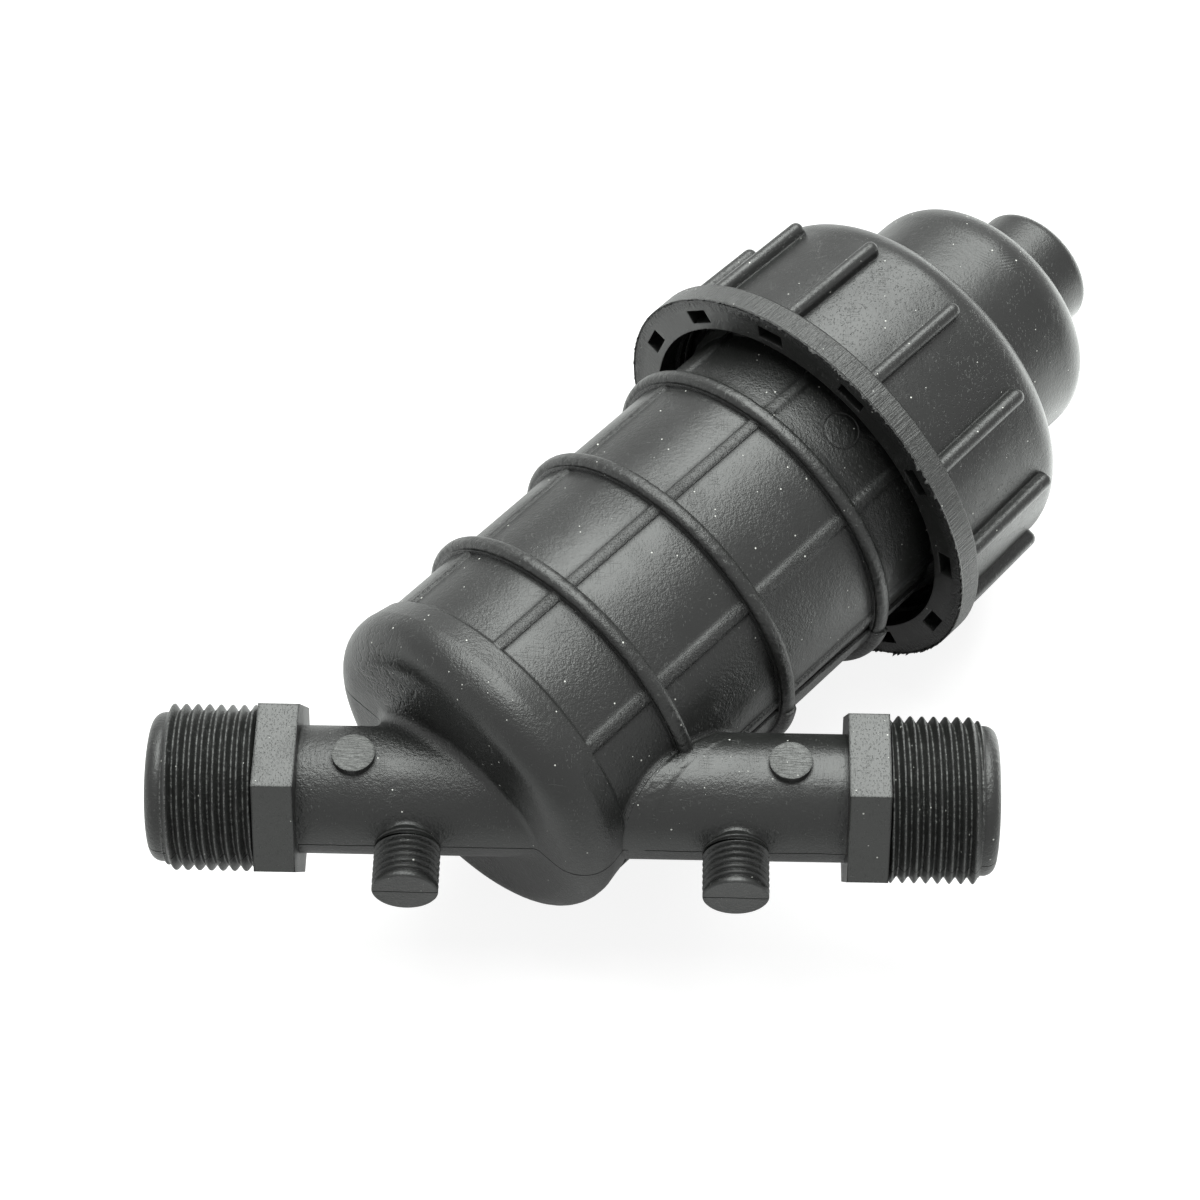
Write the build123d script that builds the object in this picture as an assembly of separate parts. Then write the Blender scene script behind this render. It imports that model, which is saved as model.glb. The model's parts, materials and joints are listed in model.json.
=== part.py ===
from build123d import *
from math import atan2, cos, degrees, radians, sin, tan
import os

# A 1 inch Y filter for irrigation lines, moulded in black polypropylene, in millimetres.
# The origin is the centre of the inlet's end face, X runs along the flow, +Z is up, and the barrel
# slants towards +X and +Y in the plane z = 0, which is also the mould's parting plane.

# Pipe run
INLET_REACH = 57.4           # inlet end face to the crossing of the pipe and barrel axes
OUTLET_REACH = 109.2         # crossing to the outlet end face
PIPE_BORE = 20.2             # diameter of both waterways
TUBE_WALL = 2.6
END_BORE = 23.0              # wider mouth of each waterway, under the thread
END_BORE_LENGTH = 27.0
END_THREAD_ROOT = 30.3       # root diameter of the 1 inch parallel pipe thread
END_THREAD_LENGTH = 18.3     # length of thread beside each hexagon
LIP_DIAMETER = 29.6
LIP_LENGTH = 3.2
LIP_ROUNDING = 2.4

# Hexagons for the wrench
HEX_ACROSS_FLATS = 32.9
HEX_LENGTH = 8.1

# Gauge studs, moulded closed, and cut gate pads
STUD_ROOT = 11.5             # root diameter of the quarter inch thread
STUD_SHANK = 13.1            # plain foot of the stud, as wide as its thread's crests
STUD_SHANK_RISE = 0.7        # foot above the tube's crown
STUD_REACH = 22.9            # pipe axis to the stud's end face
STUD_INLET_PLACE = -6.2      # along the pipe, from the crossing of the axes
STUD_OUTLET_PLACE = 58.1
PAD_DIAMETER = 8.4
PAD_REACH = 14.0             # pipe axis to the pad's top
PAD_INLET_PLACE = -16.8
PAD_OUTLET_PLACE = 68.4

# Barrel, measured along its own axis from the crossing
BARREL_ANGLE = 48.0          # barrel axis to the pipe axis, degrees
BARREL_OUTER = 68.4          # diameter
BARREL_WALL = 3.5
BULB_RISE = 1.6              # bulb above the barrel, all round
BULB_START = 3.3             # end face
BULB_FULL_END = 11.5         # end of the bulb's full width
BULB_HEEL_RISE = 0.8         # bulb's heel above the barrel, all round
BULB_HEEL = 16.0
BULB_END = 16.8
BULB_ROUNDING = 7.2
END_WALL = 3.0
RING_PLACES = (34.5, 62.8, 91.8)
RING_WIDTH = 3.4
RING_HEIGHT = 2.6
RING_TOP_ROUNDING = 1.4
RIB_COUNT = 8
RIB_TURN = 1.0               # degrees from +Z towards the pipe
RIB_FOOT = 3.0               # width where a rib meets the barrel
RIB_CREST = 1.8              # width of its flat crest
RIB_HEIGHT = 0.55
RIB_ROOT = 2.0               # depth that a rib is sunk in the wall
INLET_BLEND = 2.5            # fillet between the inlet tube and the end face

# Neck and mouth
NECK_START = 95.0
NECK_DROP = 0.5              # neck below the barrel, all round
MOUTH_THREAD_START = 111.0
MOUTH_THREAD_RISE = 1.5      # root of the cap thread above the neck
MOUTH_THREAD_END = 130.0
NOSE_DROP = 0.6              # nose below the thread's root
MOUTH_END = 137.0
MOUTH_ROUNDING = 0.6

# Cap seal
SEAL_SECTION = 3.4
SEAL_GROOVE_DEPTH = 2.2
SEAL_GROOVE_WIDTH = 4.2
SEAL_PLACE = 134.0
SEAL_FIT = 0.25              # seal to the cap's seal bore
RUBBER_EASE = 0.05           # rubber ring to the floor of its groove

# Cap
CAP_START = 104.8            # front face of the flange
THREAD_ROOM = 3.0            # root of the neck's thread to root of the cap's thread
SKIRT_WALL = 3.15            # at the shoulder
SKIRT_DRAFT = 1.5            # degrees, wider towards the flange
FLANGE_WIDTH = 4.7           # flange beyond the skirt's narrow end
FLANGE_LENGTH = 5.1
FLANGE_BORE_STEP = 0.4       # mouth of the cap beyond its thread's root
SHOULDER_START = 137.5
SHOULDER_LENGTH = 9.7
SHOULDER_SINK = 1.15         # shoulder's end below the step's wall
STEP_WALL = 3.0
STEP_ROUND_START = 162.3
STEP_ROUND_LENGTH = 9.4
STEP_ROUND_DROP = 8.4
BOSS_DIAMETER = 27.8
BOSS_ROUND_START = 184.0
BOSS_ROUND_LENGTH = 3.6
BOSS_ROUND_DROP = 6.2
CAP_WALL = 3.0
CAP_SEAT_GAP = 0.3           # the cap's inner face to the mouth
SLOT_COUNT = 12
SLOT_WIDTH = 6.4
SLOT_HEIGHT = 3.1
SLOT_DEPTH = 3.6
SLOT_SHIFT = 0.25            # middle of the slots beyond the skirt's wall
SLOT_TURN = -71.9            # degrees from +Z towards the pipe
GRIP_COUNT = 12
GRIP_RADIUS = 1.65
GRIP_RISE = 1.15             # centre of the rounded crest above the skirt
GRIP_ROOT = 1.0              # depth that a grip is sunk in the skirt
GRIP_END = 135.2
GRIP_TURN = -41.3

# Cartridge
SOCKET_SPACE = 2.7           # water room between the socket's wall and the barrel
SOCKET_WALL = 3.0
SOCKET_DEPTH = 7.0
SEAT_DEPTH = 4.0             # from the end wall's inner face to the seat
SEAT_LIP = 3.0               # width of the seat under the cartridge
CARTRIDGE_FIT = 0.3          # cage to its sockets, all round and at both ends
CARTRIDGE_END = 162.0        # upper end of the cage along the barrel
CAGE_DROP = 1.0              # bars below the socket's bore
CAGE_BAR_DEPTH = 2.1
END_RING_LENGTH = 8.0
O_RING_SECTION = 2.6
O_RING_GROOVE_WIDTH = 3.2
O_RING_INSET = 2.9           # cage end to the o-ring's middle
O_RING_FIT = 0.3             # o-ring to the socket round it
GASKET_THICKNESS = 2.0
MESH_WALL = 0.4
MESH_EASE = 0.1
MESH_CAPTURE = 3.0           # length of mesh held in each end ring
MESH_LEDGE = 0.8             # the ring's ledge that the mesh ends against
WINDOW_COLUMNS = 6
WINDOW_ROWS = 4
BAR_WIDTH = 3.0              # bars along the cage
HOOP_WIDTH = 2.4             # hoops round the cage

# Values that follow
TUBE_RADIUS = PIPE_BORE / 2 + TUBE_WALL
PIPE_END = INLET_REACH + OUTLET_REACH
BULB_DIAMETER = BARREL_OUTER + 2 * BULB_RISE
NECK_OUTER = BARREL_OUTER - 2 * NECK_DROP
MOUTH_THREAD_ROOT = NECK_OUTER + 2 * MOUTH_THREAD_RISE
NOSE_DIAMETER = MOUTH_THREAD_ROOT - 2 * NOSE_DROP
SKIRT_BORE = MOUTH_THREAD_ROOT + 2 * THREAD_ROOM
SKIRT_DIAMETER = SKIRT_BORE + 2 * SKIRT_WALL
FLANGE_DIAMETER = SKIRT_DIAMETER + 2 * FLANGE_WIDTH
FLANGE_BORE = SKIRT_BORE + 2 * FLANGE_BORE_STEP
SLOT_CIRCLE = SKIRT_DIAMETER + 2 * SLOT_SHIFT
CAVITY_RADIUS = BARREL_OUTER / 2 - BARREL_WALL
SOCKET_BORE = 2 * (CAVITY_RADIUS - SOCKET_SPACE - SOCKET_WALL)
STEP_DIAMETER = SOCKET_BORE + 2 * STEP_WALL
SHOULDER_DROP = (SKIRT_DIAMETER - STEP_DIAMETER) / 2 + SHOULDER_SINK
CAGE_DIAMETER = SOCKET_BORE - 2 * CAGE_DROP
CHAMBER_FLOOR = BULB_START + END_WALL
SEAT_FLOOR = CHAMBER_FLOOR + SEAT_DEPTH
SOCKET_END = SEAT_FLOOR + SOCKET_DEPTH
CAP_SEAT = MOUTH_END + CAP_SEAT_GAP
CARTRIDGE_START = SEAT_FLOOR + CARTRIDGE_FIT
SEAL_FLOOR = NOSE_DIAMETER / 2 - SEAL_GROOVE_DEPTH
SEAL_BORE = 2 * (SEAL_FLOOR + RUBBER_EASE + SEAL_SECTION + SEAL_FIT)
O_RING_FLOOR = SOCKET_BORE / 2 - O_RING_FIT - O_RING_SECTION - RUBBER_EASE
END_RING_DIAMETER = SOCKET_BORE - 2 * CARTRIDGE_FIT
CAGE_BORE = CAGE_DIAMETER - 2 * CAGE_BAR_DEPTH
MESH_RADIUS = CAGE_BORE / 2 - MESH_EASE
LEDGE_RADIUS = MESH_RADIUS - MESH_WALL - MESH_LEDGE

# The barrel's own frame: x towards the barrel's upper side, y up, z along the barrel
SLANT = radians(BARREL_ANGLE)
BARREL = Location(
    Plane(origin=(INLET_REACH, 0, 0), x_dir=(-sin(SLANT), cos(SLANT), 0), z_dir=(cos(SLANT), sin(SLANT), 0))
)


def spun(outline):
    """A solid of revolution about the barrel axis from a closed outline of radius and place."""
    return revolve(Plane.XZ * make_face(outline), Axis.Z)


def turned(*corners):
    """A solid of revolution about the barrel axis from (radius, place along the axis) corners."""
    return spun(Polyline(*corners, close=True))


def tube_piece(outer, inner, start, end):
    """A plain ring about the barrel axis."""
    return turned((inner, start), (outer, start), (outer, end), (inner, end))


def pipe_cylinder(radius, start, end):
    """A cylinder about the pipe axis between two places along X."""
    return Plane(origin=(start, 0, 0), z_dir=(1, 0, 0)) * extrude(Circle(radius), end - start)


def falling_curve(radius, start, length, drop):
    """A quarter ellipse that falls from a cylinder of this radius towards the barrel axis."""
    return EllipticalCenterArc((radius - drop, start), drop, length, start_angle=0, arc_size=90)


def polar(angle):
    """Turns a shape about the barrel axis, in degrees from +Z towards the pipe."""
    return Rot(0, 0, 90 + angle)


def rings_of(solid, circle_radius, place):
    """Edges of a turned solid that are circles of this radius at this place along the axis."""
    found = []
    for edge in solid.edges().filter_by(GeomType.CIRCLE):
        centre = edge.arc_center
        if abs(edge.radius - circle_radius) < 0.01 and abs(centre.Z - place) < 0.01:
            found.append(edge)
    return found


def make_rib(radius, start, end):
    """A low rib with sloped flanks along a cylinder of this radius."""
    foot = RIB_FOOT / 2
    crest = RIB_CREST / 2
    section = Polyline(
        (radius - RIB_ROOT, -foot),
        (radius, -foot),
        (radius + RIB_HEIGHT, -crest),
        (radius + RIB_HEIGHT, crest),
        (radius, foot),
        (radius - RIB_ROOT, foot),
        close=True,
    )
    return Pos(0, 0, start) * extrude(make_face(section), end - start)


def make_barrel_body():
    """The outer form of bulb, barrel, rings, lengthwise ribs, neck and nose, before the waterways."""
    barrel = BARREL_OUTER / 2
    bulb = BULB_DIAMETER / 2
    neck = NECK_OUTER / 2
    root = MOUTH_THREAD_ROOT / 2
    nose = NOSE_DIAMETER / 2
    body = turned(
        (0, BULB_START),
        (bulb, BULB_START),
        (bulb, BULB_FULL_END),
        (barrel + BULB_HEEL_RISE, BULB_HEEL),
        (barrel, BULB_END),
        (barrel, NECK_START),
        (neck, NECK_START),
        (neck, MOUTH_THREAD_START - (root - neck)),
        (root, MOUTH_THREAD_START),
        (root, MOUTH_THREAD_END),
        (nose, MOUTH_THREAD_END + (root - nose)),
        (nose, MOUTH_END),
        (0, MOUTH_END),
    )
    body = fillet(rings_of(body, bulb, BULB_START), BULB_ROUNDING)
    body = fillet(rings_of(body, nose, MOUTH_END), MOUTH_ROUNDING)
    for place in RING_PLACES:
        ring = tube_piece(
            barrel + RING_HEIGHT, barrel - 1, place - RING_WIDTH / 2, place + RING_WIDTH / 2
        )
        crests = rings_of(ring, barrel + RING_HEIGHT, place - RING_WIDTH / 2)
        crests += rings_of(ring, barrel + RING_HEIGHT, place + RING_WIDTH / 2)
        body += fillet(crests, RING_TOP_ROUNDING)
    for number in range(RIB_COUNT):
        long_rib = make_rib(barrel, BULB_END - 1, NECK_START)
        neck_rib = make_rib(neck, NECK_START, MOUTH_THREAD_START)
        body += polar(RIB_TURN + number * 360 / RIB_COUNT) * (long_rib + neck_rib)
    return body


def make_cavity():
    """The room inside the barrel: chamber, seat, socket, the space round it, and the seal groove."""
    seat_bore = SOCKET_BORE / 2 - SEAT_LIP
    socket = SOCKET_BORE / 2
    cavity = turned(
        (0, CHAMBER_FLOOR),
        (seat_bore, CHAMBER_FLOOR),
        (seat_bore, SEAT_FLOOR),
        (socket, SEAT_FLOOR),
        (socket, SOCKET_END),
        (socket + SOCKET_WALL, SOCKET_END),
        (socket + SOCKET_WALL, CHAMBER_FLOOR),
        (CAVITY_RADIUS, CHAMBER_FLOOR + 1),
        (CAVITY_RADIUS, MOUTH_END + 1),
        (0, MOUTH_END + 1),
    )
    groove = tube_piece(
        NOSE_DIAMETER, SEAL_FLOOR, SEAL_PLACE - SEAL_GROOVE_WIDTH / 2, SEAL_PLACE + SEAL_GROOVE_WIDTH / 2
    )
    return cavity, groove


def make_pipe_end(face, inward):
    """Lip, thread root and hexagon of one pipe end, whose face lies at X = face."""
    def span(radius, near, far):
        low, high = sorted((face + inward * near, face + inward * far))
        return pipe_cylinder(radius, low, high)

    thread_end = LIP_LENGTH + END_THREAD_LENGTH
    lip = span(LIP_DIAMETER / 2, 0, LIP_LENGTH + 1)
    rim = lip.edges().filter_by(GeomType.CIRCLE).sort_by(Axis.X)
    outer_rim = rim[0] if inward > 0 else rim[-1]
    lip = fillet(outer_rim, LIP_ROUNDING)
    root = span(END_THREAD_ROOT / 2, LIP_LENGTH, thread_end + 1)
    low, high = sorted((face + inward * thread_end, face + inward * (thread_end + HEX_LENGTH)))
    hexagon = RegularPolygon(HEX_ACROSS_FLATS / 2, 6, major_radius=False, rotation=90)
    block = Plane(origin=(low, 0, 0), x_dir=(0, 0, 1), z_dir=(1, 0, 0)) * extrude(hexagon, high - low)
    return lip + root + block


def make_end_bore():
    """The wider mouth of a waterway at X = 0, with the cone that narrows it to the tube's bore."""
    wide = END_BORE / 2
    narrow = PIPE_BORE / 2
    cone_end = END_BORE_LENGTH + wide - narrow
    outline = Polyline(
        (-1, 0), (-1, wide), (END_BORE_LENGTH, wide), (cone_end, narrow), (cone_end, 0), close=True
    )
    return revolve(make_face(outline), Axis.X)


def make_stud(place):
    """The plain foot and thread root of a gauge stud that points to -Y."""
    foot = extrude(Circle(STUD_SHANK / 2), TUBE_RADIUS + STUD_SHANK_RISE)
    root = extrude(Circle(STUD_ROOT / 2), STUD_REACH)
    return Plane(origin=(place, 0, 0), z_dir=(0, -1, 0)) * (foot + root)


def make_housing():
    """The one-piece housing with its waterways cut."""
    crossing = INLET_REACH
    cavity, groove = make_cavity()
    body = BARREL * make_barrel_body()
    inlet_inner_end = crossing + (CHAMBER_FLOOR + TUBE_RADIUS * sin(SLANT)) / cos(SLANT)
    body += pipe_cylinder(TUBE_RADIUS, LIP_LENGTH, inlet_inner_end)
    body = fillet(body.edges().filter_by(GeomType.ELLIPSE).sort_by(Edge.length)[-1], INLET_BLEND)
    outlet_inner_start = crossing + CAVITY_RADIUS * sin(SLANT)
    body += pipe_cylinder(TUBE_RADIUS, outlet_inner_start, PIPE_END - LIP_LENGTH)
    body += make_pipe_end(0, 1)
    body += make_pipe_end(PIPE_END, -1)
    for place in (STUD_INLET_PLACE, STUD_OUTLET_PLACE):
        body += make_stud(crossing + place)
    for place in (PAD_INLET_PLACE, PAD_OUTLET_PLACE):
        body += Pos(crossing + place, 0, 0) * extrude(Circle(PAD_DIAMETER / 2), PAD_REACH)
    body -= BARREL * (cavity + groove)
    bore = PIPE_BORE / 2
    body -= pipe_cylinder(bore, 0, crossing + (CHAMBER_FLOOR + bore * sin(SLANT)) / cos(SLANT))
    body -= pipe_cylinder(bore, crossing + (CAVITY_RADIUS - bore * cos(SLANT)) / sin(SLANT), PIPE_END)
    body -= make_end_bore()
    body -= Pos(PIPE_END, 0, 0) * Rot(0, 0, 180) * make_end_bore()
    return body


def skirt_radius(place):
    """Radius of the skirt's drafted wall at a place along the barrel axis."""
    return SKIRT_DIAMETER / 2 + (SHOULDER_START - place) * tan(radians(SKIRT_DRAFT))


def make_grip(start):
    """A finger grip along the skirt: a rounded ridge that leans with the wall and has a rounded tip."""
    web = GRIP_RISE + GRIP_ROOT
    web_middle = (GRIP_RISE - GRIP_ROOT) / 2
    length = GRIP_END - start
    section = Pos(GRIP_RISE, 0) * Circle(GRIP_RADIUS) + Pos(web_middle, 0) * Rectangle(web, 2 * GRIP_RADIUS)
    tip = Pos(GRIP_RISE, 0, length) * Sphere(GRIP_RADIUS)
    tip += Pos(web_middle, 0, length) * Rot(0, 90, 0) * Cylinder(GRIP_RADIUS, web)
    ridge = extrude(section, length) + tip
    return Pos(skirt_radius(start), 0, start) * Rot(0, -SKIRT_DRAFT, 0) * ridge


def make_cap():
    """The one-piece screw cap, open towards the housing."""
    skirt = SKIRT_DIAMETER / 2
    step = STEP_DIAMETER / 2
    boss = BOSS_DIAMETER / 2
    flange_end = CAP_START + FLANGE_LENGTH
    step_end = STEP_ROUND_START + STEP_ROUND_LENGTH
    shoulder_end = SHOULDER_START + SHOULDER_LENGTH
    boss_end = BOSS_ROUND_START + BOSS_ROUND_LENGTH
    outline = Polyline(
        (0, CAP_START),
        (FLANGE_DIAMETER / 2, CAP_START),
        (FLANGE_DIAMETER / 2, flange_end),
        (skirt_radius(flange_end), flange_end),
        (skirt, SHOULDER_START),
    )
    outline += falling_curve(skirt, SHOULDER_START, SHOULDER_LENGTH, SHOULDER_DROP)
    outline += Polyline(
        (skirt - SHOULDER_DROP, shoulder_end), (step, shoulder_end), (step, STEP_ROUND_START)
    )
    outline += falling_curve(step, STEP_ROUND_START, STEP_ROUND_LENGTH, STEP_ROUND_DROP)
    outline += Polyline((step - STEP_ROUND_DROP, step_end), (boss, step_end), (boss, BOSS_ROUND_START))
    outline += falling_curve(boss, BOSS_ROUND_START, BOSS_ROUND_LENGTH, BOSS_ROUND_DROP)
    outline += Polyline((boss - BOSS_ROUND_DROP, boss_end), (0, boss_end), (0, CAP_START))
    outer = spun(outline)
    seal_bore = SEAL_BORE / 2
    socket = SOCKET_BORE / 2
    seat_bore = socket - SEAT_LIP
    thread_end = MOUTH_THREAD_END + 1
    socket_start = shoulder_end - CAP_WALL
    socket_floor = CARTRIDGE_END + GASKET_THICKNESS + 2 * CARTRIDGE_FIT
    room = turned(
        (0, CAP_START - 1),
        (FLANGE_BORE / 2, CAP_START - 1),
        (FLANGE_BORE / 2, flange_end),
        (SKIRT_BORE / 2, flange_end + 1),
        (SKIRT_BORE / 2, thread_end),
        (seal_bore, thread_end + 1),
        (seal_bore, CAP_SEAT),
        (CAVITY_RADIUS + 1, CAP_SEAT),
        (socket + 1, socket_start),
        (socket, socket_start + 1),
        (socket, socket_floor),
        (seat_bore, socket_floor),
        (boss - CAP_WALL + 3, step_end - CAP_WALL),
        (boss - CAP_WALL, step_end - CAP_WALL + 3),
        (boss - CAP_WALL, boss_end - CAP_WALL),
        (0, boss_end - CAP_WALL),
    )
    cap = outer - room
    for number in range(GRIP_COUNT):
        cap += polar(GRIP_TURN + number * 360 / GRIP_COUNT) * make_grip(flange_end - 1)
    for number in range(SLOT_COUNT):
        slot = Pos(SLOT_CIRCLE / 2, 0, CAP_START - 1) * extrude(
            Rectangle(SLOT_HEIGHT, SLOT_WIDTH), SLOT_DEPTH + 1
        )
        cap -= polar(SLOT_TURN + number * 360 / SLOT_COUNT) * slot
    return BARREL * cap


def make_cap_seal():
    """The rubber ring in the groove of the nose."""
    middle = SEAL_FLOOR + RUBBER_EASE + SEAL_SECTION / 2
    return BARREL * Pos(0, 0, SEAL_PLACE) * Torus(middle, SEAL_SECTION / 2)


def make_cage():
    """The moulded cage: two grooved end rings joined by bars and hoops."""
    ring = END_RING_DIAMETER / 2
    outer = CAGE_DIAMETER / 2
    inner = CAGE_BORE / 2
    start = CARTRIDGE_START
    end = CARTRIDGE_END
    cage = turned(
        (LEDGE_RADIUS, start),
        (ring, start),
        (ring, start + END_RING_LENGTH),
        (outer, start + END_RING_LENGTH),
        (outer, end - END_RING_LENGTH),
        (ring, end - END_RING_LENGTH),
        (ring, end),
        (LEDGE_RADIUS, end),
        (LEDGE_RADIUS, end - END_RING_LENGTH + MESH_CAPTURE),
        (inner, end - END_RING_LENGTH + MESH_CAPTURE),
        (inner, start + END_RING_LENGTH - MESH_CAPTURE),
        (LEDGE_RADIUS, start + END_RING_LENGTH - MESH_CAPTURE),
    )
    groove = start + O_RING_INSET
    cage -= tube_piece(
        ring + 1, O_RING_FLOOR, groove - O_RING_GROOVE_WIDTH / 2, groove + O_RING_GROOVE_WIDTH / 2
    )
    window_zone = end - start - 2 * END_RING_LENGTH - HOOP_WIDTH
    pitch = window_zone / WINDOW_ROWS
    half_angle = 180 / WINDOW_COLUMNS - degrees(atan2(BAR_WIDTH / 2, outer))
    for row in range(WINDOW_ROWS):
        low = start + END_RING_LENGTH + HOOP_WIDTH + row * pitch
        for column in range(WINDOW_COLUMNS):
            reach = outer + 2
            side = reach * tan(radians(half_angle))
            wedge = make_face(Polyline((0, 0), (reach, side), (reach, -side), close=True))
            window = Pos(0, 0, low) * extrude(wedge, pitch - HOOP_WIDTH)
            window -= Pos(0, 0, low) * extrude(Circle(inner - 1), pitch - HOOP_WIDTH)
            cage -= polar((column + 0.5) * 360 / WINDOW_COLUMNS) * window
    return BARREL * cage


def make_mesh():
    """The woven stainless sleeve inside the cage, as a plain wall."""
    start = CARTRIDGE_START + END_RING_LENGTH - MESH_CAPTURE + MESH_EASE
    end = CARTRIDGE_END - END_RING_LENGTH + MESH_CAPTURE - MESH_EASE
    return BARREL * tube_piece(MESH_RADIUS, MESH_RADIUS - MESH_WALL, start, end)


def make_o_ring():
    """The rubber ring in the groove at the cage's lower end."""
    middle = O_RING_FLOOR + RUBBER_EASE + O_RING_SECTION / 2
    return BARREL * Pos(0, 0, CARTRIDGE_START + O_RING_INSET) * Torus(middle, O_RING_SECTION / 2)


def make_gasket():
    """The flat rubber ring between the cage's upper end and the floor of the cap's socket."""
    start = CARTRIDGE_END + CARTRIDGE_FIT
    return BARREL * tube_piece(END_RING_DIAMETER / 2, LEDGE_RADIUS, start, start + GASKET_THICKNESS)


os.makedirs("parts", exist_ok=True)
pieces = {
    "housing": make_housing(),
    "cap": make_cap(),
    "cap_seal": make_cap_seal(),
    "screen_cage": make_cage(),
    "screen_mesh": make_mesh(),
    "screen_o_ring": make_o_ring(),
    "cap_gasket": make_gasket(),
}
for name, piece in pieces.items():
    export_step(piece, "parts/" + name + ".step")
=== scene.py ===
import bpy
import json
import math
from mathutils import Matrix, Vector, noise


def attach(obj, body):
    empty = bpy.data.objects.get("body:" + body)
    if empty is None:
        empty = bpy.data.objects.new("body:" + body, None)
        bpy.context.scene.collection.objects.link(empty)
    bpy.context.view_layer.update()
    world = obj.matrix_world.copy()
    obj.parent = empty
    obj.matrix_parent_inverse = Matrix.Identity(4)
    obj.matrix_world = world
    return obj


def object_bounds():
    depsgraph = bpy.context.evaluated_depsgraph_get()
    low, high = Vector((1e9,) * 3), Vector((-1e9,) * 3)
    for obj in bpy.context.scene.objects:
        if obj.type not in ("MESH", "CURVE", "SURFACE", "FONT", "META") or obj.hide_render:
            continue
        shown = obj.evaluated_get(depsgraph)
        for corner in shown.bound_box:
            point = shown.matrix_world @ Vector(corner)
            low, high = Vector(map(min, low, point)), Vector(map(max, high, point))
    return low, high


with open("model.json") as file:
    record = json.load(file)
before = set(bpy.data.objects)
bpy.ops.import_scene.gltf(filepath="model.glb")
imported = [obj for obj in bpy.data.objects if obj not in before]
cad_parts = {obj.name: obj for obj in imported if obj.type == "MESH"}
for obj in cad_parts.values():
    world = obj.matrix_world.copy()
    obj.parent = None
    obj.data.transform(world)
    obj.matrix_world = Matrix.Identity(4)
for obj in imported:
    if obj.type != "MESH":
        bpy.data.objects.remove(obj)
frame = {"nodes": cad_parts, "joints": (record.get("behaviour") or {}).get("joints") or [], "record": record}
cad_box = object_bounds()

# Sizes are in millimetres and become metres by MM
MM = 0.001
nodes = frame["nodes"]
mounts = {mount["name"]: mount for mount in frame["record"]["mounts"]}
joints = {joint["name"]: joint for joint in frame["joints"]}

# Places of the pipe and the barrel, from the frame
turn = joints["cap_turn"]
barrel_axis = Vector(turn["axis"]).normalized()
crossing = Vector(turn["pos_m"])
CROSSING = crossing.x / MM
PIPE_END = mounts["outlet_bore"]["pos_m"][0] / MM
UP = Vector((0, 0, 1))


def axes_frame(origin, along, upward=UP):
    """A matrix whose z axis points along and whose y axis points upward."""
    across = upward.cross(along).normalized()
    columns = Matrix((across, upward, along)).transposed()
    return Matrix.Translation(origin) @ columns.to_4x4()


# Part frame, and the barrel's frame: z along the barrel, y up, x away from the pipe
PART = Matrix.Identity(4)
BARREL = axes_frame(crossing, barrel_axis)

# Sizes that repeat the solids. Places along the barrel start at its crossing with the pipe.
BARREL_RADIUS = 34.2
BULB_END = 16.8
RING_PLACES = (34.5, 62.8, 91.8)
RING_WIDTH = 3.4
RING_ROUNDING = 1.4
RING_RISE = 2.6
RING_TOP = BARREL_RADIUS + RING_RISE
NECK_START = 95.0
NECK_RADIUS = 33.7
NECK_THREAD_ROOT = 35.2
NECK_THREAD_START = 112.5
NECK_THREAD_END = 128.5
CAP_START = 104.8
CAP_THREAD_ROOT = 38.2
FLANGE_RADIUS = 46.05
FLANGE_END = 109.9
STEP_RADIUS = 28.0
LIP_LENGTH = 3.2
HEX_START = 21.5
HEX_LENGTH = 8.1
HEX_STARTS = (HEX_START, PIPE_END - HEX_START - HEX_LENGTH)
STUDS = ("inlet_gauge_stud", "outlet_gauge_stud")
STUD_FOOT_REACH = 13.4
STUD_REACH = 22.9
PAD_REACH = 14.0
PAD_RADIUS = 4.2
PAD_PLACES = (CROSSING - 16.8, CROSSING + 68.4)

# Screw threads, which stand on the root cylinders of the solids
PIPE_THREAD_ROOT = mounts["inlet_thread"]["dims"]["r_mm"]
PIPE_THREAD_LENGTH = mounts["inlet_thread"]["dims"]["length_mm"]
PIPE_THREAD_CREST = 16.5
PIPE_THREAD_PITCH = 2.309
STUD_THREAD_START = 12.8
STUD_THREAD_CREST = 6.55
STUD_THREAD_PITCH = 1.337
STUD_LAND = 1.0
NECK_THREAD_CREST = 37.4
CAP_THREAD_CREST = 36.4
NECK_THREAD_PITCH = 5.0
CREST_SHARPNESS = 0.90
SLEEVE_SKIN = 0.25

# Round mark of a mould insert on the neck, with its angle from straight up
MARK_PLACE = 102.65
MARK_ANGLE = 22.6
MARK_RADIUS = 3.85

# Photograph: camera found from about 150 outline points
PHOTO_SIDE = 1200
FOCAL_PIXELS = 3368.2
CAMERA_PLACE = (CROSSING + 42.31, -344.07, 571.91)
CAMERA_TILT = 34.33
CAMERA_YAW = -1.01
CAMERA_ROLL = -0.96
SENSOR_WIDTH = 36.0


def make_camera():
    """The photograph's camera, on the shared frame."""
    data = bpy.data.cameras.new("photo_camera")
    data.sensor_width = SENSOR_WIDTH
    data.lens = FOCAL_PIXELS / PHOTO_SIDE * SENSOR_WIDTH
    data.clip_start = 0.05
    data.clip_end = 20
    camera = bpy.data.objects.new("photo_camera", data)
    bpy.context.scene.collection.objects.link(camera)
    roll = Matrix.Rotation(math.radians(CAMERA_ROLL), 3, "Z")
    yaw = Matrix.Rotation(math.radians(CAMERA_YAW), 3, "Y")
    tilt = Matrix.Rotation(math.radians(-CAMERA_TILT), 3, "X")
    to_camera = roll @ yaw @ tilt
    place = Vector(CAMERA_PLACE) * MM
    camera.matrix_world = Matrix.Translation(place) @ to_camera.transposed().to_4x4()
    bpy.context.scene.camera = camera


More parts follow.
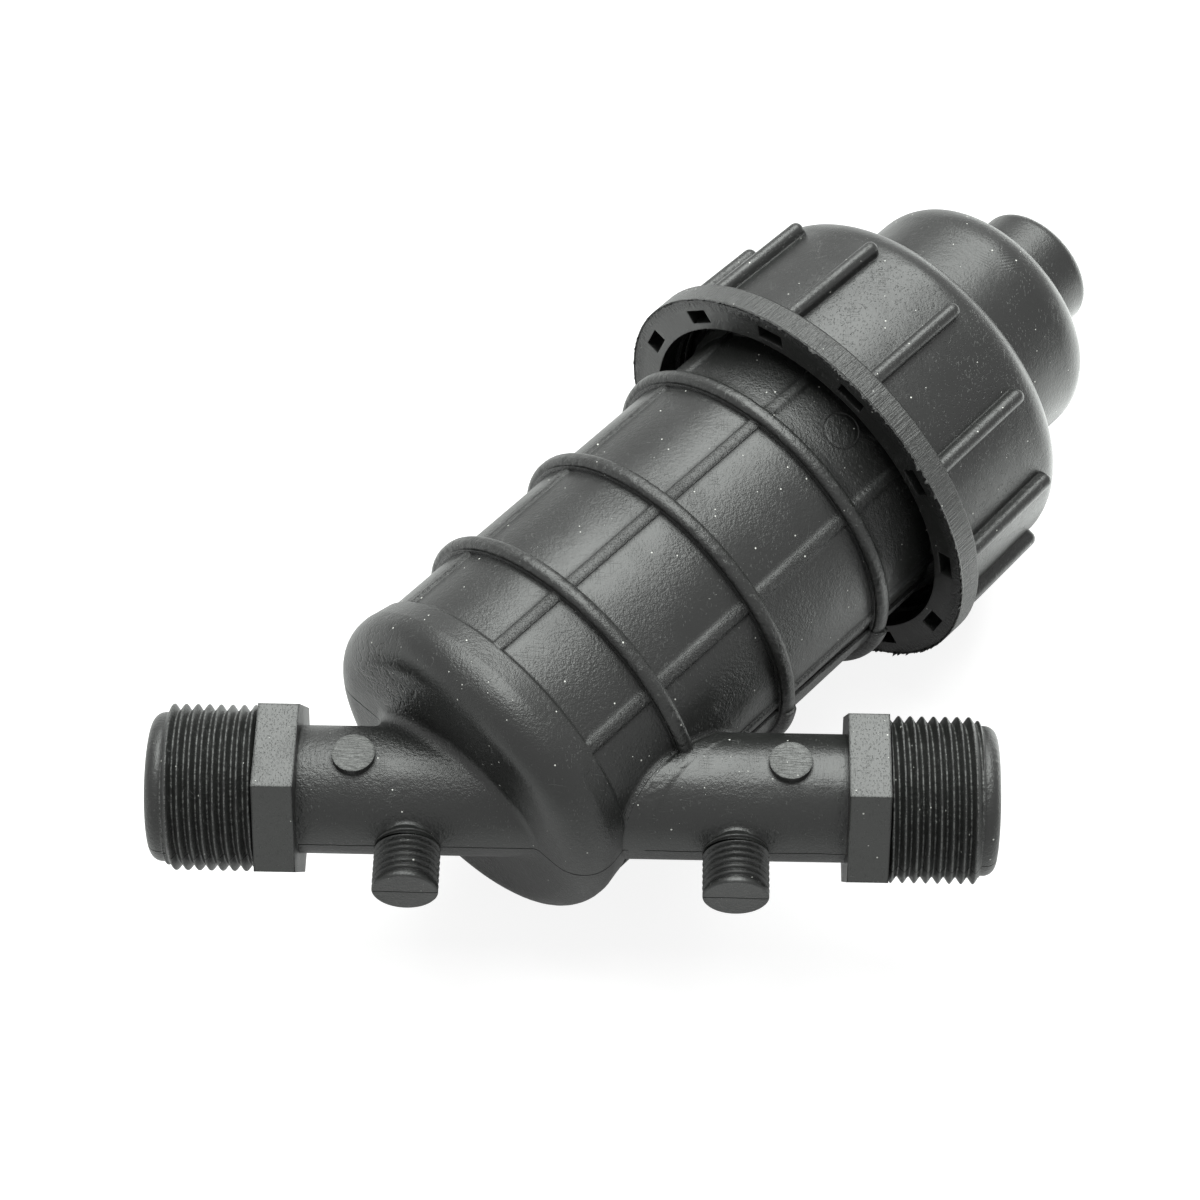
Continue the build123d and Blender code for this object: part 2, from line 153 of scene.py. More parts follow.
class Graph:
    """Adds shader nodes to one material. Lengths are in millimetres."""

    def __init__(self, name):
        self.material = bpy.data.materials.new(name)
        self.material["slot"] = name
        self.material.use_nodes = True
        self.tree = self.material.node_tree
        self.shader = self.tree.nodes["Principled BSDF"]
        self.output = self.tree.nodes["Material Output"]

    def node(self, kind, inputs, **settings):
        """A new shader node with its settings made and its inputs filled."""
        node = self.tree.nodes.new("ShaderNode" + kind)
        for key, value in settings.items():
            setattr(node, key, value)
        self.fill(node, inputs)
        return node

    def fill(self, node, inputs):
        """Links each input that gets a socket, and writes the others' values."""
        for key, value in inputs.items():
            if isinstance(value, bpy.types.NodeSocket):
                self.tree.links.new(value, node.inputs[key])
            else:
                node.inputs[key].default_value = value

    def space(self, matrix):
        """Object coordinates in millimetres, in the frame that the matrix places."""
        place, rotation, _ = matrix.decompose()
        inputs = {
            "Vector": self.node("TexCoord", {}).outputs["Object"],
            "Location": place, "Rotation": rotation.to_euler(), "Scale": (MM, MM, MM),
        }
        return self.node("Mapping", inputs, vector_type="TEXTURE").outputs["Vector"]

    def parts(self, vector):
        """The x, y and z of a vector."""
        split = self.node("SeparateXYZ", {"Vector": vector})
        return split.outputs["X"], split.outputs["Y"], split.outputs["Z"]

    def math(self, operation, first, second=0.0):
        """The result of one sum."""
        return self.node("Math", {0: first, 1: second}, operation=operation).outputs["Value"]

    def times(self, first, *others):
        """The product of all the values."""
        result = first
        for other in others:
            result = self.math("MULTIPLY", result, other)
        return result

    def most(self, values):
        """The largest of the values."""
        result = values[0]
        for value in values[1:]:
            result = self.math("MAXIMUM", result, value)
        return result

    def off_axis(self, across, upward):
        """Distance from an axis, from the two coordinates square to it."""
        squares = self.math("ADD", self.times(across, across), self.times(upward, upward))
        return self.math("SQRT", squares)

    def divided(self, vector, sizes):
        """A vector with each of its three parts divided by a size."""
        inputs = {0: vector, 1: [1 / size for size in sizes]}
        return self.node("VectorMath", inputs, operation="MULTIPLY").outputs["Vector"]

    def noise(self, vector, sizes, detail=2.0, roughness=0.5, distortion=0.0):
        """Noise whose cells have about these sizes along the three axes."""
        inputs = {
            "Vector": self.divided(vector, sizes), "Scale": 1.0, "Detail": detail,
            "Roughness": roughness, "Distortion": distortion,
        }
        return self.node("TexNoise", inputs).outputs["Fac"]

    def ramp(self, value, low, high, to_low=0.0, to_high=1.0):
        """A smooth step from to_low, where the value is low, to to_high, where it is high."""
        inputs = {"Value": value, "From Min": low, "From Max": high, "To Min": to_low, "To Max": to_high}
        return self.node("MapRange", inputs, interpolation_type="SMOOTHSTEP").outputs["Result"]

    def band(self, value, low, high, soft):
        """1 between low and high, with soft edges outside them."""
        return self.times(self.ramp(value, low - soft, low), self.ramp(value, high + soft, high))

    def distance(self, vector, point):
        """Distance between a place and a point."""
        return self.node("VectorMath", {0: vector, 1: point}, operation="DISTANCE").outputs["Value"]

    def near(self, vector, point, inner, outer):
        """1 within the inner distance of a point, 0 beyond the outer one."""
        return self.ramp(self.distance(vector, point), outer, inner)

    def mix(self, factor, first, second):
        """A blend from the first colour, at 0, to the second, at 1."""
        return self.node("Mix", {0: factor, 6: first, 7: second}, data_type="RGBA").outputs[2]

    def specks(self, vector, sizes, level, soft=0.06):
        """Scattered specks where a fine noise rises above a level."""
        return self.ramp(self.noise(vector, sizes, detail=0.0), level, level + soft)

    def dust(self, vector, spacing, smallest, largest, keep):
        """Round grains of dust of uneven size, in some cells of a Voronoi pattern."""
        cells = self.node("TexVoronoi", {"Vector": self.divided(vector, (spacing,) * 3), "Scale": 1.0})
        split = self.node("SeparateColor", {"Color": cells.outputs["Color"]})
        size = self.ramp(split.outputs["Green"], 0.5, 1.0, smallest / spacing, largest / spacing)
        beyond = self.math("SUBTRACT", cells.outputs["Distance"], size)
        grain = self.ramp(beyond, 0.0, -0.4 * smallest / spacing)
        return self.times(grain, self.math("LESS_THAN", split.outputs["Red"], keep))

    def hairlines(self, vector, sizes, width=0.006):
        """Thin wandering lines where a stretched noise passes its middle value."""
        field = self.noise(vector, sizes, detail=1.0)
        offset = self.math("ABSOLUTE", self.math("SUBTRACT", field, 0.5))
        return self.ramp(offset, width, width * 0.3)


def polar_point(radius, angle, height):
    """A point at a radius and an angle around z."""
    return (radius * math.cos(angle), radius * math.sin(angle), height)


MARK_CENTRE = polar_point(NECK_RADIUS, math.radians(90 + MARK_ANGLE), MARK_PLACE)

# Colours of the plastics: untouched, a paler grey for rubbed wear and for painted highlights, and dust on
# them
BLACK = (0.0105, 0.0110, 0.0104, 1)
WEAR_AND_HIGHLIGHT_GREY = (0.090, 0.092, 0.089, 1)
DUST = (0.60, 0.60, 0.57, 1)


class Plastic(Graph):
    """Black moulded polypropylene, satin, that gathers relief, wear, painted highlights, painted shade and
    dust before it is finished.

    The grain is the height of its leathery skin, and the rounding the radius of its edges.
    """

    def __init__(self, name, grain=0.130, rounding=0.45, dusty=True):
        super().__init__(name)
        self.part = self.space(PART)
        self.barrel = self.space(BARREL)
        self.reliefs = []
        self.wear_and_highlights = []
        self.shade = None
        self.bevel = self.node("Bevel", {"Radius": rounding * MM}, samples=3)
        self.patch = self.noise(self.part, (19, 19, 19), detail=2)
        self.wave = self.noise(self.part, (7, 7, 7), detail=2)
        self.leather = self.noise(self.part, (0.75, 0.75, 0.75), detail=2, roughness=0.85)
        strong = self.ramp(self.patch, 0.38, 0.60, 0.6, 1.5)
        self.relief(self.times(self.leather, strong), grain)
        self.relief(self.wave, 0.13)
        self.scratches()
        self.tears()
        self.dirt = self.dust(self.part, 1.6, 0.06, 0.20, 0.50) if dusty else None

    def relief(self, height, rise):
        """Adds a height, which is about 0 to 1, as a relief that rises by so many millimetres."""
        self.reliefs.append(self.times(height, rise))

    def scratches(self):
        """Fine wandering scratches, where the surface lies low."""
        lines = self.hairlines(self.part, (0.9, 14, 7))
        lines = self.math("MAXIMUM", lines, self.hairlines(self.part, (11, 1.0, 16)))
        scratch = self.times(lines, self.ramp(self.wave, 0.44, 0.36))
        self.relief(scratch, -0.02)
        self.wear_and_highlights.append(self.times(scratch, 0.5))

    def tears(self):
        """Small torn flecks, where the surface lies high."""
        flecks = self.specks(self.part, (0.28, 0.9, 0.6), 0.70)
        high = self.ramp(self.wave, 0.48, 0.60)
        self.relief(self.times(flecks, high), 0.03)
        self.wear_and_highlights.append(self.times(flecks, high, 0.4))

    def sharp_edges(self):
        """1 on sharp edges, where the rounded normal bends away from the true one."""
        true_normal = self.node("NewGeometry", {}).outputs["Normal"]
        inputs = {0: self.bevel.outputs["Normal"], 1: true_normal}
        bend = self.node("VectorMath", inputs, operation="DOT_PRODUCT").outputs["Value"]
        return self.ramp(bend, 0.99, 0.90)

    def finished(self, gloss=0.36):
        """Joins what was gathered, and returns the material."""
        height = self.reliefs[0]
        for relief in self.reliefs[1:]:
            height = self.math("ADD", height, relief)
        wear_and_highlights = self.most(self.wear_and_highlights)
        # The paler grey marks real wear, and also painted highlights on hexagon faces, pads and thread lines
        colour = self.mix(wear_and_highlights, BLACK, WEAR_AND_HIGHLIGHT_GREY)
        rough = self.ramp(self.patch, 0.3, 0.7, gloss - 0.03, gloss + 0.04)
        rough = self.math("ADD", rough, self.times(wear_and_highlights, 0.10))
        if self.dirt:
            colour = self.mix(self.dirt, colour, DUST)
            rough = self.math("ADD", rough, self.times(self.dirt, 0.4))
        bump = self.node("Bump", {
            "Height": height, "Distance": MM, "Strength": 1.0, "Normal": self.bevel.outputs["Normal"],
        })
        self.fill(self.shader, {
            "Base Color": colour, "Roughness": rough, "IOR": 1.5, "Normal": bump.outputs["Normal"],
        })
        # Painted shade: the specular level falls from 0.5 to 0.1 where the shade mask is high, darkening
        # seams, stud grooves, thread flanks and hexagon edges
        if self.shade:
            self.fill(self.shader, {"Specular IOR Level": self.ramp(self.shade, 0.0, 1.0, 0.5, 0.1)})
        return self.material


class BodyPlastic(Plastic):
    """The housing's plastic, and the marks that its mould, its gates and handling left on it."""

    def __init__(self):
        super().__init__("body_plastic")
        self.x, self.y, self.z = self.parts(self.part)
        across, upward, self.along = self.parts(self.barrel)
        self.radius = self.off_axis(across, upward)
        self.pipe = self.off_axis(self.y, self.z)
        self.shades = []

    def parting_line(self):
        """Groove and small step where the mould halves met, in the plane z = 0, on bulb, tubes and lips,
        with painted shade darkening the groove.
        """
        wander = self.times(self.math("SUBTRACT", self.wave, 0.5), 0.8)
        level = self.math("ADD", self.z, wander)
        off_barrel = self.ramp(self.radius, 38, 39)
        on_bulb = self.ramp(self.along, BULB_END - 1.3, BULB_END - 1.8)
        plain = self.math("MAXIMUM", off_barrel, on_bulb)
        for start in HEX_STARTS:
            hexagon = self.band(self.x, start, start + HEX_LENGTH, 0.1)
            plain = self.times(plain, self.math("SUBTRACT", 1.0, hexagon))
        seam = self.times(self.ramp(self.math("ABSOLUTE", level), 0.22, 0.06), plain)
        lower_half = self.times(self.ramp(level, 0.08, -0.08), plain)
        self.relief(seam, -0.22)
        self.relief(lower_half, 0.14)
        # Painted shade in the seam's groove
        self.shades.append(self.times(seam, 0.9))

    def stud_grooves(self):
        """Thread grooves on the studs' shanks, where the solid is plain, with painted shade in their
        bottoms.
        """
        shank_radius = 6.7
        shank_start = 10.4
        reach = self.math("MULTIPLY", self.y, -1.0)
        length = self.band(reach, shank_start, STUD_FOOT_REACH, 0.1)
        off_tube = self.ramp(self.pipe, 13.2, 13.5)
        rows = self.times(self.math("SUBTRACT", reach, STUD_THREAD_START), 1 / STUD_THREAD_PITCH)
        for name in STUDS:
            beside = self.math("SUBTRACT", self.x, mounts[name]["pos_m"][0] / MM)
            around = self.times(self.math("ARCTAN2", self.z, beside), 0.5 / math.pi)
            phase = self.times(self.math("SUBTRACT", rows, around), 2 * math.pi)
            groove = self.math("COSINE", phase)
            width = self.band(beside, -shank_radius, shank_radius, 0.1)
            shank = self.times(length, width, off_tube)
            self.relief(self.times(groove, shank), -0.34)
            # Painted shade at the bottoms of the grooves
            self.shades.append(self.times(self.ramp(groove, -0.3, 0.8), shank, 0.9))

    def cut_pads(self):
        """Pads where the gate was cut, streaked by the cutter, and paler partly as cut plastic and partly as
        a painted highlight.
        """
        streaks = self.noise(self.part, (2.6, 0.42, 2.0), detail=2, roughness=0.6, distortion=0.5)
        pale = self.ramp(streaks, 0.35, 0.65, 0.5, 1.0)
        face = self.ramp(self.z, PAD_REACH - 0.25, PAD_REACH - 0.1)
        for place in PAD_PLACES:
            disc = self.near(self.part, (place, 0, PAD_REACH), PAD_RADIUS, PAD_RADIUS + 0.1)
            pad = self.times(disc, face)
            self.relief(self.times(streaks, pad), 0.34)
            # Paler grey: partly the cut plastic, partly a painted highlight on the flat pad
            self.wear_and_highlights.append(self.times(pad, pale))

    def hexagon_faces(self):
        """Hexagon faces with small pits, lightened as a painted highlight, and with painted shade on their
        edges.
        """
        pits = self.specks(self.part, (0.3, 0.55, 0.55), 0.66)
        edges = self.sharp_edges()
        depth = self.band(self.pipe, 16.0, 21.0, 0.2)
        for start in HEX_STARTS:
            end = start + HEX_LENGTH
            faces = self.times(self.band(self.x, start + 0.3, end - 0.3, 0.2), depth)
            hexagon = self.times(self.band(self.x, start - 0.2, end + 0.2, 0.1), depth)
            self.relief(self.times(pits, faces), -0.10)
            # Painted highlight: the hexagon faces are lightened
            self.wear_and_highlights.append(self.times(faces, 0.35))
            # Painted shade along the hexagon's edges
            self.shades.append(self.times(edges, hexagon))

    def soft_edges(self):
        """Crisp edges at the threads, rounder ones elsewhere, and the softest on the low ribs."""
        crisp_radius = 0.22 * MM
        plain_radius = 0.70 * MM
        rib_radius = 1.5 * MM
        lip = self.ramp(self.x, LIP_LENGTH, LIP_LENGTH - 0.2)
        off_inlet = self.math("MAXIMUM", self.ramp(self.x, HEX_START - 0.2, HEX_START), lip)
        first = PIPE_END - HEX_START
        last = first + PIPE_THREAD_LENGTH
        lip = self.ramp(self.x, last, last + 0.2)
        off_outlet = self.math("MAXIMUM", self.ramp(self.x, first + 0.2, first), lip)
        off_studs = self.ramp(self.y, -STUD_FOOT_REACH, -STUD_FOOT_REACH + 0.3)
        off_pipe = self.ramp(self.pipe, 18, 19)
        plain = self.math("MAXIMUM", self.times(off_inlet, off_outlet, off_studs), off_pipe)
        softness = self.ramp(plain, 0.0, 1.0, crisp_radius, plain_radius)
        barrel_length = self.band(self.along, 18, 103, 1)
        barrel_skin = self.band(self.radius, 33, 35, 0.5)
        low_ribs = self.times(barrel_length, barrel_skin, rib_radius)
        self.fill(self.bevel, {"Radius": self.math("MAXIMUM", softness, low_ribs)})

    def ribs_and_neck(self):
        """Crumbly skin on the low ribs, and smoother skin on the neck under the flange."""
        height = self.band(self.radius, BARREL_RADIUS + 0.25, BARREL_RADIUS + 0.8, 0.15)
        ribs = self.times(height, self.band(self.along, 17, 104, 0.5))
        self.relief(self.times(self.leather, ribs), 0.22)
        neck = self.times(self.ramp(self.along, 98, 101), self.ramp(self.radius, 36, 35.5))
        self.relief(self.times(self.leather, neck), -0.06)

    def painted_thread_lines(self):
        """Painted highlights as pale lines on thread crests and roots, with gaps, and painted shade on the
        flanks between them.
        """
        gaps = self.ramp(self.leather, 0.46, 0.58)
        crest = self.ramp(self.pipe, PIPE_THREAD_CREST - 0.16, PIPE_THREAD_CREST - 0.04)
        root = self.band(self.pipe, PIPE_THREAD_ROOT - 0.15, PIPE_THREAD_ROOT + 0.05, 0.1)
        highlight_lines = self.math("MAXIMUM", crest, root)
        flank = self.math("SUBTRACT", 1.0, highlight_lines)
        inside = self.ramp(self.pipe, 17.6, 17.2)
        for start in (LIP_LENGTH + 0.2, PIPE_END - HEX_START + 0.1):
            end = start + PIPE_THREAD_LENGTH - 0.3
            thread = self.times(self.band(self.x, start, end, 0.1), inside)
            # Painted highlights on crests and roots, broken by gaps
            self.wear_and_highlights.append(self.times(highlight_lines, thread, gaps))
            # Painted shade on the flanks
            self.shades.append(self.times(flank, thread, 0.45))

    def flow_marks(self):
        """Cold wrinkles beside the inlet, flow lines by both pads and ridges in the round mark."""
        folds_place = (CROSSING - 9.5, 15.5, 19)
        outlet_place = (CROSSING + 72, -3, 11)
        inlet_place = (CROSSING - 22, -3, 11)
        wrinkles = self.hairlines(self.part, (1.6, 3.4, 2.4), width=0.05)
        folds = self.near(self.part, folds_place, 4, 15)
        self.relief(self.times(wrinkles, folds), -0.10)
        flow = self.noise(self.part, (0.9, 5.0, 4.0), detail=2)
        outlet_tube = self.near(self.part, outlet_place, 6, 20)
        inlet_tube = self.near(self.part, inlet_place, 3, 12)
        mark_field = self.near(self.barrel, MARK_CENTRE, MARK_RADIUS - 0.85, MARK_RADIUS - 0.25)
        self.relief(self.times(flow, outlet_tube), 0.10)
        self.relief(self.times(flow, inlet_tube), 0.12)
        self.relief(self.times(flow, mark_field), 0.14)

    def rough_rings(self):
        """Uneven rings, nicked and rubbed on their crests."""
        lumps = self.noise(self.part, (1.9, 1.9, 1.9), detail=3)
        rising = self.ramp(self.radius, BARREL_RADIUS + 0.8, BARREL_RADIUS + 1.6)
        rings = self.times(rising, self.band(self.along, 20, 97, 1), self.ramp(self.radius, 39, 38))
        self.relief(self.times(lumps, rings), 0.30)
        crest = self.times(
            self.ramp(self.radius, RING_TOP - 0.6, RING_TOP - 0.1),
            self.ramp(self.radius, RING_TOP + 0.4, RING_TOP + 0.2),
        )
        nicks = self.times(self.ramp(lumps, 0.50, 0.60), self.ramp(self.leather, 0.55, 0.65), crest)
        self.relief(nicks, -0.05)
        self.wear_and_highlights.append(self.times(nicks, 0.55))


def make_body_plastic():
    """The housing's plastic with all its marks."""
    skin = BodyPlastic()
    skin.parting_line()
    skin.stud_grooves()
    skin.cut_pads()
    skin.hexagon_faces()
    skin.soft_edges()
    skin.ribs_and_neck()
    skin.painted_thread_lines()
    skin.flow_marks()
    skin.rough_rings()
    # Painted shade mask, used on the specular level
    skin.shade = skin.most(skin.shades)
    return skin.finished()


def make_cap_plastic():
    """The cap's plastic, with its sawn rim, torn front edge, pitted skirt and rubbed step."""
    skin = Plastic("cap_plastic", grain=0.065)
    across, upward, along = skin.parts(skin.barrel)
    radius = skin.off_axis(across, upward)

    # Sawn rim: fine and coarse streaks across it
    edge = skin.ramp(radius, FLANGE_RADIUS - 0.5, FLANGE_RADIUS - 0.2)
    rim = skin.times(edge, skin.ramp(along, FLANGE_END + 0.1, FLANGE_END - 0.1))
    fine = skin.noise(skin.barrel, (0.34, 0.34, 5.0), detail=3, roughness=0.6, distortion=0.15)
    coarse = skin.noise(skin.barrel, (1.6, 1.6, 9.0), detail=2, distortion=0.3)
    skin.relief(skin.times(fine, rim), 0.32)
    skin.relief(skin.times(coarse, rim), 0.30)
    skin.wear_and_highlights.append(skin.times(rim, 0.15))

    # Groove at the flange's back edge
    back = skin.band(along, FLANGE_END - 0.1, FLANGE_END + 0.05, 0.12)
    skin.relief(skin.times(back, skin.ramp(radius, 41.9, 42.0)), -0.06)

    # Torn plastic on the front face, next to the rim
    face = skin.ramp(along, CAP_START + 0.3, CAP_START + 0.1)
    front = skin.times(face, skin.ramp(radius, 42.8, 45.5))
    torn = skin.noise(skin.barrel, (1.1, 1.1, 1.1), detail=3, roughness=0.65, distortion=1.2)
    skin.relief(skin.times(torn, front), 0.55)

    # Short pits on the skirt
    skirt_start = 111
    skirt_end = 140
    pits = skin.specks(skin.barrel, (0.28, 0.42, 0.60), 0.69)
    skirt = skin.band(along, skirt_start, skirt_end, 3)
    skin.relief(skin.times(pits, skirt), -0.065)

    # Swirls rubbed into the step, around one spot on it
    step_start = 147
    spot = (-1.5, STEP_RADIUS, 166.0)
    radians_each_mm = 9.0
    reach = skin.distance(skin.barrel, spot)
    uneven = skin.math("ADD", reach, skin.times(skin.wave, 2.0))
    swirls = skin.math("SINE", skin.times(uneven, radians_each_mm))
    rubbed = skin.times(skin.band(reach, 4.2, 8.5, 1.2), skin.ramp(skin.wave, 0.42, 0.60))
    step = skin.ramp(along, step_start, step_start + 2)
    skin.relief(skin.times(swirls, rubbed, step), 0.012)
    return skin.finished(gloss=0.34)


def make_cage_plastic():
    """The cage's smoother plastic, under water and without dust."""
    return Plastic("cage_plastic", grain=0.020, rounding=0.25, dusty=False).finished(gloss=0.36)


def make_rubber():
    """Black nitrile rubber, matt with a faint bloom."""
    graph = Graph("rubber")
    here = graph.space(PART)
    bloom = graph.ramp(graph.noise(here, (3.3, 3.3, 3.3), detail=3), 0.4, 0.7)
    colour = graph.mix(bloom, (0.013, 0.013, 0.013, 1), (0.03, 0.03, 0.03, 1))
    height = graph.noise(here, (0.25, 0.25, 0.25))
    bump = graph.node("Bump", {"Height": height, "Distance": 0.02 * MM})
    graph.fill(graph.shader, {"Base Color": colour, "Roughness": 0.62, "Normal": bump.outputs["Normal"]})
    return graph.material


def make_mesh_steel():
    """Woven stainless wire cloth: wires along and around the sleeve, dark between them."""
    pitch = 0.5
    sleeve_radius = 21.5
    wire_grey = (0.42, 0.42, 0.41, 1)
    gap_grey = (0.03, 0.03, 0.03, 1)
    graph = Graph("mesh_steel")
    across, upward, along = graph.parts(graph.space(BARREL))
    angle = graph.math("ARCTAN2", upward, across)
    warp = graph.math("SINE", graph.times(angle, 2 * math.pi * sleeve_radius / pitch))
    weft = graph.math("SINE", graph.times(along, 2 * math.pi / pitch))
    wires = graph.math("MAXIMUM", warp, weft)
    knuckles = graph.times(warp, weft)
    colour = graph.mix(graph.ramp(wires, 0.7, 0.4), wire_grey, gap_grey)
    height = graph.math("ADD", wires, graph.times(knuckles, 0.5))
    bump = graph.node("Bump", {"Height": height, "Distance": 0.08 * MM})
    graph.fill(graph.shader, {
        "Base Color": colour, "Metallic": 1.0, "Roughness": 0.34, "Normal": bump.outputs["Normal"],
    })
    return graph.material


def dress(name, material):
    """Gives a CAD node its material."""
    mesh = nodes[name].data
    mesh.materials.clear()
    mesh.materials.append(material)


SHARP_ANGLE = 38


def new_piece(name, points, faces, material, body, place=PART):
    """A smooth mesh piece, from points in millimetres, that rides on a body."""
    mesh = bpy.data.meshes.new(name)
    mesh.from_pydata([Vector(point) * MM for point in points], [], faces)
    mesh.validate()
    mesh.transform(place)
    mesh.update()
    for polygon in mesh.polygons:
        polygon.use_smooth = True
    mesh.set_sharp_from_angle(angle=math.radians(SHARP_ANGLE))
    mesh.materials.append(material)
    piece = bpy.data.objects.new(name, mesh)
    bpy.context.scene.collection.objects.link(piece)
    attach(piece, body)
    return piece


def ring_faces(rings, around):
    """Quads of a closed tube: between rings of points, the last of which meets the first."""
    faces = []
    for ring in range(rings):
        below = ring * around
        above = ((ring + 1) % rings) * around
        for step in range(around):
            after = (step + 1) % around
            faces.append((below + step, below + after, above + after, above + step))
    return faces


def thread_height(phase):
    """Height from 0 at the root to 1 at the crest over one pitch, a V with small roundings."""
    wave = math.asin(-CREST_SHARPNESS * math.cos(2 * math.pi * phase)) / math.asin(CREST_SHARPNESS)
    return 0.5 + 0.5 * wave


def thread_sleeve(name, place, root, crest, start, end, pitch, material, body,
                  around=96, along=14, run_in=0.5, run_out=0.5, shift=0.0):
    """A closed sleeve with a right-handed thread from start to end along z. Run-ins are in pitches."""
    rows = max(2, round((end - start) / pitch * along))
    points = []
    for row in range(rows + 1):
        z = start + (end - start) * row / rows
        fade = min(1.0, (z - start) / (pitch * run_in), (end - z) / (pitch * run_out))
        for step in range(around):
            angle = 2 * math.pi * step / around
            phase = (z - start + shift) / pitch - step / around
            height = thread_height(phase) * max(0.0, fade)
            points.append(polar_point(root + (crest - root) * height, angle, z))
    buried = root - math.copysign(SLEEVE_SKIN, crest - root)
    for z in (end, start):
        for step in range(around):
            points.append(polar_point(buried, 2 * math.pi * step / around, z))
    faces = ring_faces(rows + 3, around)
    if crest < root:
        faces = [face[::-1] for face in faces]
    return new_piece(name, points, faces, material, body, place)


def lathe(name, outline, place, material, body, around=96):
    """A closed solid of revolution about z from (radius, height) points."""
    points = []
    for radius, height in outline:
        for step in range(around):
            points.append(polar_point(radius, 2 * math.pi * step / around, height))
    return new_piece(name, points, ring_faces(len(outline), around), material, body, place)


def make_pipe_threads(material):
    """The 1 inch threads of both pipe ends. Each shift sets where its first crest starts."""
    half = PIPE_THREAD_LENGTH / 2
    for name, forward, shift in (("inlet_thread", 1, 0.6), ("outlet_thread", -1, -0.1)):
        place = axes_frame(Vector(mounts[name]["pos_m"]), Vector((forward, 0, 0)))
        thread_sleeve(
            name, place, PIPE_THREAD_ROOT, PIPE_THREAD_CREST, -half, half, PIPE_THREAD_PITCH,
            material, "housing", around=144, run_in=0.2, run_out=0.1, shift=shift,
        )


def make_stud_threads(material):
    """The quarter inch threads of both gauge studs, each with the plain land at its closed end."""
    land = STUD_REACH - STUD_LAND
    face = STUD_REACH + 0.03
    wide = STUD_THREAD_CREST - 0.05
    corner = 0.25
    middle = 0.01
    outline = ((middle, land), (wide, land), (wide, face - corner), (wide - corner, face), (middle, face))
    for name in STUDS:
        mount = mounts[name]
        place = axes_frame(Vector((mount["pos_m"][0], 0, 0)), Vector((0, -1, 0)))
        thread_sleeve(
            name + "_thread", place, mount["dims"]["r_mm"], STUD_THREAD_CREST, STUD_THREAD_START, land,
            STUD_THREAD_PITCH, material, "housing", run_in=0.2, run_out=0.2,
        )
        lathe(name + "_land", outline, place, material, "housing", around=72)


def make_neck_thread(material):
    """The coarse thread of the neck."""
    thread_sleeve(
        "neck_thread", BARREL, NECK_THREAD_ROOT, NECK_THREAD_CREST, NECK_THREAD_START, NECK_THREAD_END,
        NECK_THREAD_PITCH, material, "housing", around=144, run_in=1.0, run_out=1.0,
    )


def make_cap_thread(material):
    """The cap's inner thread, half a pitch from the neck's."""
    thread_sleeve(
        "cap_thread", BARREL, CAP_THREAD_ROOT, CAP_THREAD_CREST, NECK_THREAD_START, NECK_THREAD_END,
        NECK_THREAD_PITCH, material, "cap", around=144, run_in=1.0, run_out=1.0,
        shift=NECK_THREAD_PITCH / 2,
    )


def make_flange_burr(material):
    """The torn burr along the front edge of the sawn rim, lower on the side away from the pipe."""
    around = 900
    outer = FLANGE_RADIUS - 0.01
    lowest = 0.05
    ragged_rise = 1.25
    quiet_share = 0.75
    sunk_foot = (0.0, 0.35)
    tip = (0.0, 0.0)
    inner_foot = (1.0, 0.0)
    points = []
    for reach, sink in (sunk_foot, tip, inner_foot):
        for step in range(around):
            angle = 2 * math.pi * step / around
            spot = Vector(polar_point(outer, angle, 0))
            ragged = noise.noise(spot * 0.9) + 0.6 * noise.noise(spot * 2.7)
            quiet = quiet_share * max(0.0, math.cos(angle))
            rise = lowest + ragged_rise * (1 - quiet) * max(0.0, ragged)
            width = 0.5 + 0.5 * noise.noise(spot * 0.8 + Vector((7, 0, 0)))
            height = CAP_START + sink if sink else CAP_START - rise * (1 - reach)
            points.append(polar_point(outer - reach * (width + 0.05), angle, height + 0.02 * reach))
    return new_piece("flange_burr", points, ring_faces(3, around), material, "cap", BARREL)


def ring_rise(z):
    """Height of the barrel's rings above it at a place along the barrel."""
    flat = RING_WIDTH / 2 - RING_ROUNDING
    for place in RING_PLACES:
        offset = abs(z - place)
        if offset < flat:
            return RING_RISE
        if offset < RING_WIDTH / 2:
            drop = offset - flat
            return RING_RISE - RING_ROUNDING + math.sqrt(RING_ROUNDING ** 2 - drop ** 2)
    return 0.0


def make_lower_skin(material):
    """The lower mould half's skin, which stands a little proud along the barrel's pipe side.

    Its angles are degrees from straight up. Its edge leans away along the barrel.
    """
    rise = 0.75
    sunk = 0.4
    edge_least = 94.5
    edge_middle = 95.0
    middle_place = 68.0
    lean = 0.18
    edge_turn = 0.25
    last = 165.0
    columns = 56
    rows = 300
    start = BULB_END + 0.2
    end = CAP_START + 4
    points = []
    for row in range(rows + 1):
        z = start + (end - start) * row / rows
        base = (NECK_RADIUS if z > NECK_START else BARREL_RADIUS) + ring_rise(z)
        uneven = 0.5 * noise.noise(Vector((z / 6, 0, 0)))
        first = max(edge_least, edge_middle + lean * (z - middle_place)) + uneven
        for column in range(columns + 1):
            part = max(0, column - 1) / (columns - 1)
            angle = first + (last - first) * part + (edge_turn if column else 0.0)
            height = rise * min(1.0, (1 - part) * 2) if column else -sunk
            points.append(polar_point(base + height, math.radians(90 + angle), z))
        for angle in (last + edge_turn, first):
            points.append(polar_point(base - sunk, math.radians(90 + angle), z))
    around = columns + 3
    faces = ring_faces(rows + 1, around)[:rows * around]
    faces.append(tuple(range(around))[::-1])
    faces.append(tuple(rows * around + step for step in range(around)))
    return new_piece("lower_skin", points, faces, material, "housing", BARREL)


